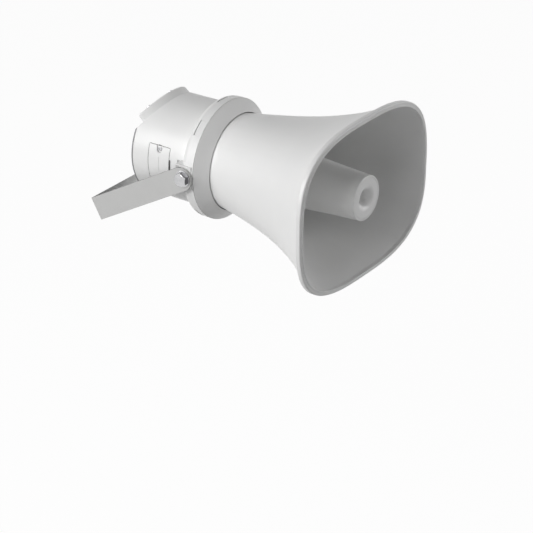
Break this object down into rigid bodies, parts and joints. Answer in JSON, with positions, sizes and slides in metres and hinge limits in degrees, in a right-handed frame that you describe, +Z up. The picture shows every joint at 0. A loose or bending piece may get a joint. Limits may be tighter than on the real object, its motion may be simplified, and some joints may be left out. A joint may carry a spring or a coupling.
{
  "type": "pa horn speaker",
  "caption": "Folded-horn loudspeaker with a wide rounded-rectangle mouth, a reflector, a rear electronics housing and a tilting U-shaped wall bracket.",
  "frame": {"origin": "centre of the bracket's middle wall hole, on the face that lies on the wall", "axes": "+Z up, +Y back along the horn's axis away from its mouth, +X to the right seen from behind the mouth looking along +Y"},
  "size_m": [0.2751, 0.3589, 0.208],
  "materials": {
    "shell": "fine satin",
    "painted": "matte powder coat",
    "bright_steel": "polished",
    "steel": "zinc plated",
    "bright": "satin",
    "cast": "cast",
    "brass": "turned",
    "copper": "enamelled wire",
    "ferrite": "sintered",
    "seal": "matte",
    "pale_seal": "matte",
    "plate": "matte powder coat",
    "gland": "satin",
    "dark": "satin",
    "film": "thin film",
    "green": "gloss",
    "board": "coated laminate",
    "lead": "insulated wire"
  },
  "bodies": {
    "bracket": {"u_bracket": "painted"},
    "horn": {"horn_bell": "shell", "reflector": "shell", "reflector_cap": "shell", "reflector_screw": "steel", "tone_tube": "shell", "tone_tube_screws": "steel", "collar_ring": "shell", "bell_screws": "steel", "housing_gasket": "pale_seal", "rear_housing": "shell", "connection_cover": "shell", "cover_gasket": "seal", "cover_screws": "steel", "side_hatch": "shell", "hatch_screws": "steel", "rear_plate": "plate", "rear_gasket": "seal", "rear_plate_screws": "steel", "gland_body": "gland", "gland_locknut": "gland", "gland_nut": "gland", "gland_seal": "seal", "throat_gasket": "seal", "driver_cover": "cast", "driver_cover_screws": "steel", "driver_mount_screws": "steel", "phase_plug": "dark", "surround": "film", "top_plate": "steel", "magnet": "ferrite", "yoke": "steel", "driver_terminal": "dark", "driver_leads": "lead", "main_board": "board", "board_standoffs": "brass", "board_screws": "steel", "standoff_screws": "steel", "network_jack": "bright", "terminal_blocks": "green", "capacitors": "bright", "filter_coil": "dark", "heat_sink": "cast", "processor": "dark", "button_switch": "dark", "pivot_bolt_left": "bright_steel", "pivot_bolt_right": "bright_steel", "friction_washers": "gland", "lock_washers": "bright_steel", "pivot_inserts": "brass"},
    "diaphragm": {"diaphragm": "film", "voice_coil": "copper"},
    "control_button": {"control_button": "dark"}
  },
  "joints": [
    {"name": "bracket_tilt", "type": "hinge", "parent": "bracket", "child": "horn", "pos_m": [0, -0.13969, 0.07903], "axis": [1, 0, 0], "range_deg": [-173, 114]},
    {"name": "diaphragm_travel", "type": "slide", "parent": "horn", "child": "diaphragm", "axis": [0, 1, 0], "range_m": [-0.0004, 0.0004], "stiffness_N_per_m": 2000},
    {"name": "button_press", "type": "slide", "parent": "horn", "child": "control_button", "axis": [0, -1, 0], "range_m": [0, 0.0004], "stiffness_N_per_m": 500}
  ]
}
